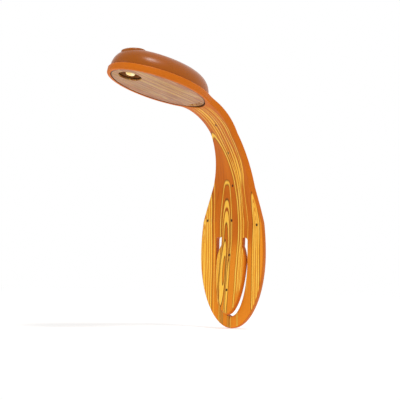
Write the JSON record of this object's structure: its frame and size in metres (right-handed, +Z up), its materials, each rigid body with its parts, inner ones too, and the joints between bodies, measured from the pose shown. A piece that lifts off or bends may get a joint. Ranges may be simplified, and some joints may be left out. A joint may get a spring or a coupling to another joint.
{
  "type": "book light",
  "caption": "Clip-on book light: flat bendable arm with a page clip and tongue below, and an oval battery-powered lamp head with a push button above.",
  "frame": {"origin": "the middle of the strip's thickness where the tongue leaves the clip, at the page's edge", "axes": "+Z up the clip ring towards the arm, +X to the right of the printed face, -Y out of the printed face that looks at the reader"},
  "size_m": [0.0591, 0.0777, 0.1424],
  "materials": {
    "grain_rubber": "satin",
    "edge_orange": "satin",
    "panel_print": "satin film over printed wood grain",
    "cover_gloss": "glossy",
    "recess_brown": "glossy",
    "led_lens": "glossy",
    "cell_steel": "satin",
    "contact_brass": "satin",
    "shape_wire": "dull",
    "tray_plastic": "matt",
    "board_green": "satin",
    "screw_steel": "satin"
  },
  "bodies": {
    "clip": {"clip_ring": "grain_rubber", "tongue_neck": "grain_rubber", "flex_lower": "grain_rubber", "wires_clip": "shape_wire"},
    "tongue": {"tongue": "grain_rubber"},
    "arm_lower": {"sleeve_lower": "grain_rubber", "flex_twist": "grain_rubber", "wires_lower": "shape_wire"},
    "arm_middle": {"sleeve_middle": "grain_rubber", "flex_middle": "grain_rubber", "wires_middle": "shape_wire"},
    "arm_upper": {"sleeve_upper": "grain_rubber", "flex_upper": "grain_rubber", "wires_upper": "shape_wire"},
    "head": {"head_rim": "edge_orange", "wires_head": "shape_wire", "head_cover": "cover_gloss", "cell_tray": "tray_plastic", "tray_screws": "screw_steel", "circuit_board": "board_green", "resistor": "tray_plastic", "switch_body": "tray_plastic", "led": "led_lens", "led_reflector": "recess_brown", "positive_contact": "contact_brass", "negative_contact": "contact_brass", "coin_cell_1": "cell_steel", "coin_cell_2": "cell_steel"},
    "button": {"push_button": "cover_gloss", "switch_plunger": "tray_plastic"},
    "battery_cover": {"battery_cover": "panel_print"}
  },
  "joints": [
    {"name": "tongue_hinge", "type": "hinge", "parent": "clip", "child": "tongue", "pos_m": [0, -0.00007, -0.001], "axis": [-1, 0, 0], "range_deg": [-7, 20], "stiffness_Nm_per_rad": 0.1, "deforming": ["tongue_neck"]},
    {"name": "arm_bend_lower", "type": "hinge", "parent": "clip", "child": "arm_lower", "pos_m": [0, -0.00001, 0.013], "axis": [0.9979, -0.0653, -0.0002], "range_deg": [-40, 40], "deforming": ["flex_lower", "wires_clip", "wires_lower"]},
    {"name": "arm_twist", "type": "hinge", "parent": "arm_lower", "child": "arm_middle", "pos_m": [-0.00006, -0.00044, 0.03099], "axis": [-0.0209, -0.0795, 0.9966], "range_deg": [-60, 60], "deforming": ["flex_twist", "wires_lower", "wires_middle"]},
    {"name": "arm_bend_middle", "type": "hinge", "parent": "arm_middle", "child": "arm_upper", "pos_m": [-0.00092, -0.00305, 0.04469], "axis": [0.9109, -0.4117, -0.0259], "range_deg": [-35, 40], "deforming": ["flex_middle", "wires_middle", "wires_upper"]},
    {"name": "arm_bend_upper", "type": "hinge", "parent": "arm_upper", "child": "head", "pos_m": [-0.0043, -0.01126, 0.06134], "axis": [0.8995, -0.4362, -0.0251], "range_deg": [-45, 40], "deforming": ["flex_upper", "wires_upper", "wires_head"]},
    {"name": "button_press", "type": "slide", "parent": "head", "child": "button", "axis": [-0.0214, -0.2999, -0.9537], "range_m": [0, 0.0004], "stiffness_N_per_m": 150, "springref_m": -0.002},
    {"name": "battery_cover_lift", "type": "slide", "parent": "head", "child": "battery_cover", "axis": [-0.0214, -0.2999, -0.9537], "range_m": [0, 0.012]}
  ]
}
